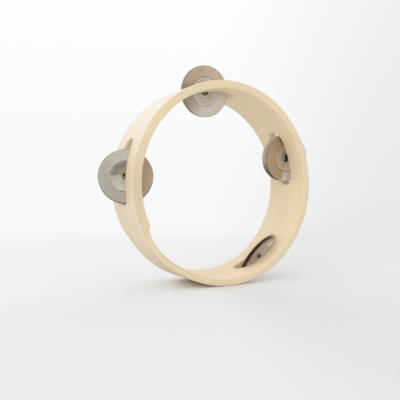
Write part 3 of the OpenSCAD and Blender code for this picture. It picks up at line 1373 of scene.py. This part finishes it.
@dataclass(frozen=True)
class Lamp:
    """A soft square lamp that looks at the hoop from a direction in the camera's terms."""

    name: str
    left: float
    up: float
    back: float
    distance: float
    size: float
    watts: float


@dataclass
class Studio:
    """Camera at the photograph's place, plain white surroundings and soft lamps."""

    hoop_centre: Vector
    eye: Vector = Vector((-195.6, -331.4, -5.54)) * MM
    yaw: float = math.radians(28.85)
    pitch: float = math.radians(-1.03)
    roll: float = math.radians(0.08)
    lens: float = 45.04
    clip_near: float = 0.01
    clip_far: float = 50
    daylight: float = 1.0
    floor_size: float = 30.0
    lamps: tuple[Lamp, ...] = (
        Lamp("key", left=0.5, up=0.6, back=0.9, distance=1.2, size=1.0, watts=2.5),
        Lamp("top", left=-0.3, up=0.95, back=0.3, distance=1.1, size=1.2, watts=0.5),
    )

    def camera(self) -> None:
        """Makes the scene's camera."""
        data = bpy.data.cameras.new("camera")
        data.lens = self.lens
        data.clip_start = self.clip_near
        data.clip_end = self.clip_far
        eye = bpy.data.objects.new("camera", data)
        bpy.context.scene.collection.objects.link(eye)
        turn = Matrix.Rotation(-self.yaw, 4, "Z") @ Matrix.Rotation(math.pi / 2 + self.pitch, 4, "X")
        turn = turn @ Matrix.Rotation(self.roll, 4, "Z")
        eye.matrix_world = Matrix.Translation(self.hoop_centre + self.eye) @ turn
        bpy.context.scene.camera = eye

    def floor(self) -> None:
        """Makes the paper floor."""
        deselect()
        bpy.ops.mesh.primitive_plane_add(size=self.floor_size)
        floor = fresh("floor")
        floor.data.materials.append(FloorFinish(Backdrop(self.yaw)).make())

    def surroundings(self) -> None:
        """Lights the scene evenly from all round, and shows the camera and metal the backdrop."""
        world = bpy.data.worlds.new("studio")
        world.use_nodes = True
        bpy.context.scene.world = world
        bench = Bench(world.node_tree)
        x, y, z = bench.parts(bench.put("ShaderNodeTexCoord", output="Generated"))
        backdrop = Backdrop(self.yaw)
        level = backdrop.level(bench, x, y, z)
        light = bench.put("ShaderNodeBackground", {"Color": (1, 1, 1, 1), "Strength": self.daylight})
        pale = bench.put("ShaderNodeBackground", {"Color": backdrop.tint, "Strength": level})
        mixed = bench.put("ShaderNodeMixShader", {0: bench.seen_or_mirrored(), 1: light, 2: pale})
        bench.surface(mixed, "ShaderNodeOutputWorld")

    def light(self, lamp: Lamp) -> None:
        """Hangs a lamp.

        Args:
            lamp: Where it hangs and how strong it is.
        """
        data = bpy.data.lights.new(lamp.name, "AREA")
        data.shape = "SQUARE"
        data.size = lamp.size
        data.energy = lamp.watts
        piece = bpy.data.objects.new(lamp.name, data)
        bpy.context.scene.collection.objects.link(piece)
        left = Vector((-math.cos(self.yaw), math.sin(self.yaw), 0))
        back = Vector((-math.sin(self.yaw), -math.cos(self.yaw), 0))
        way = (left * lamp.left + back * lamp.back + Vector((0, 0, lamp.up))).normalized()
        facing = way.to_track_quat("Z", "Y").to_matrix().to_4x4()
        piece.matrix_world = Matrix.Translation(self.hoop_centre + way * lamp.distance) @ facing

    def build(self) -> None:
        """Builds the studio."""
        bpy.context.scene.view_settings.view_transform = "Standard"
        self.camera()
        self.floor()
        self.surroundings()
        for lamp in self.lamps:
            self.light(lamp)


# Where each slot was cut, the radii of each pair's holes, front and rear, and each jingle's tints, with their
# painted reflections, shade and highlights

SLOTS = (
    # The left slot gets no painted shade round its nail.
    Slot("left", math.radians(173.6), 47.6 * MM, painted_nail_shade=False),
    Slot("top", math.radians(95.5)),
    Slot("right", math.radians(18.6)),
    Slot("lower", math.radians(-55.357)),
)
HOLES = {
    "left": (2.35 * MM, 2.55 * MM),
    "top": (2.8 * MM, 2.5 * MM),
    "right": (2.8 * MM, 2.2 * MM),
    "lower": (1.95 * MM, 2.7 * MM),
}
# Painted shade towards the lower left of the flange and in the upper part of the cup.
LEFT_FRONT = NickelFinish(
    "nickel_left_front", plate=colour(198, 188, 176), wear_and_side_light=colour(199, 174, 148), cup=colour(204, 198, 186),
    side_light_turn=math.radians(-8), side_light_from=0.2, side_light_to=0.45,
    second_side_light=colour(172, 169, 156), second_side_light_turn=math.radians(200), second_side_light_strength=0.75,
    dust_and_shade=colour(158, 130, 102), cup_shade_turn=math.radians(95), cup_shade_strength=0.78)
# Its hub is darkened brown, as painted shade seen through the front disc's hole.
LEFT_REAR = NickelFinish(
    "nickel_left_rear", plate=colour(196, 190, 181), dust_and_shade=colour(158, 124, 92), hub_dust_and_shade=1.0)
# Its pale cup is a painted highlight; painted shade towards the left of the flange.
TOP_FRONT = NickelFinish(
    "nickel_top_front", plate=colour(234, 223, 210), cup=colour(236, 232, 226), wear_and_side_light=colour(216, 192, 162),
    side_light_turn=math.radians(82), side_light_from=0.05, side_light_to=0.45,
    second_side_light=colour(168, 156, 130), second_side_light_turn=math.radians(165), second_side_light_strength=0.85,
    cup_shade_strength=0.1, cup_side_light=0.05, hub_crease=0.45, hub_crease_width=0.06)
# A near-white, dull plate and pale rim band: a painted reflection of the white surroundings on the crescent
# seen past the front disc; its hub darkened as painted shade.
TOP_REAR = NickelFinish(
    "nickel_top_rear", plate=colour(240, 239, 238), side_light_strength=0.1, metallic=0.3,
    edge=colour(226, 224, 222), hub_dust_and_shade=1.0)
RIGHT_FRONT = NickelFinish(
    "nickel_right_front", plate=colour(232, 238, 250), cup=colour(246, 236, 224), wear_and_side_light=colour(192, 164, 130),
    side_light_turn=math.radians(171), side_light_from=-0.01, side_light_to=0.11, side_light_strength=0.95,
    wear_strength=0.15, cup_shade_strength=0.1, cup_side_light=0.5, metallic=0.8)
# A pale, dull plate and pale rim band: a painted reflection of the white surroundings; a painted highlight to
# the left, painted shade at the bottom, and its hub darkened as painted shade.
RIGHT_REAR = NickelFinish(
    "nickel_right_rear", plate=colour(232, 230, 222), wear_and_side_light=colour(86, 70, 52),
    side_light_turn=math.radians(125), side_light_from=0.55, side_light_to=0.9,
    second_side_light=colour(255, 248, 232), second_side_light_turn=math.radians(180), second_side_light_strength=0.6,
    metallic=0.25, edge=colour(200, 196, 188), hub_dust_and_shade=1.0)
LOWER_FRONT = NickelFinish(
    "nickel_lower_front", plate=colour(230, 218, 205), wear_and_side_light=colour(194, 165, 132),
    side_light_turn=math.radians(200), side_light_from=-0.3, side_light_to=0.4, cup_shade_strength=0.2)
# A brown, dull plate that stands in for the shade on the crescent seen past the front disc: painted shade;
# its hub darkened as painted shade.
LOWER_REAR = NickelFinish(
    "nickel_lower_rear", plate=colour(168, 142, 120), wear_and_side_light=colour(140, 112, 88), side_light_strength=0.6,
    metallic=0.5, hub_dust_and_shade=1.0)
DISC_FINISHES = {
    "left": (LEFT_FRONT, LEFT_REAR),
    "top": (TOP_FRONT, TOP_REAR),
    "right": (RIGHT_FRONT, RIGHT_REAR),
    "lower": (LOWER_FRONT, LOWER_REAR),
}


def main() -> None:
    """Builds the object and its studio, and reports each piece."""
    logging.basicConfig(level=logging.INFO, format="%(name)s: %(message)s")
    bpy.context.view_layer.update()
    hoop = Hoop(SLOTS)
    studio = Studio(hoop.centre)
    studio.build()
    hoop.build()
    blank = JingleBlank().build()
    steel = NailFinish("nail_wire").make()
    across = Vector((math.cos(studio.yaw), -math.sin(studio.yaw), 0))
    for slot in SLOTS:
        Pair(slot.name, blank, *DISC_FINISHES[slot.name], HOLES[slot.name], across).build()
        Nail(slot.name, steel).build()
    remove(blank)


if __name__ == "__main__":
    main()
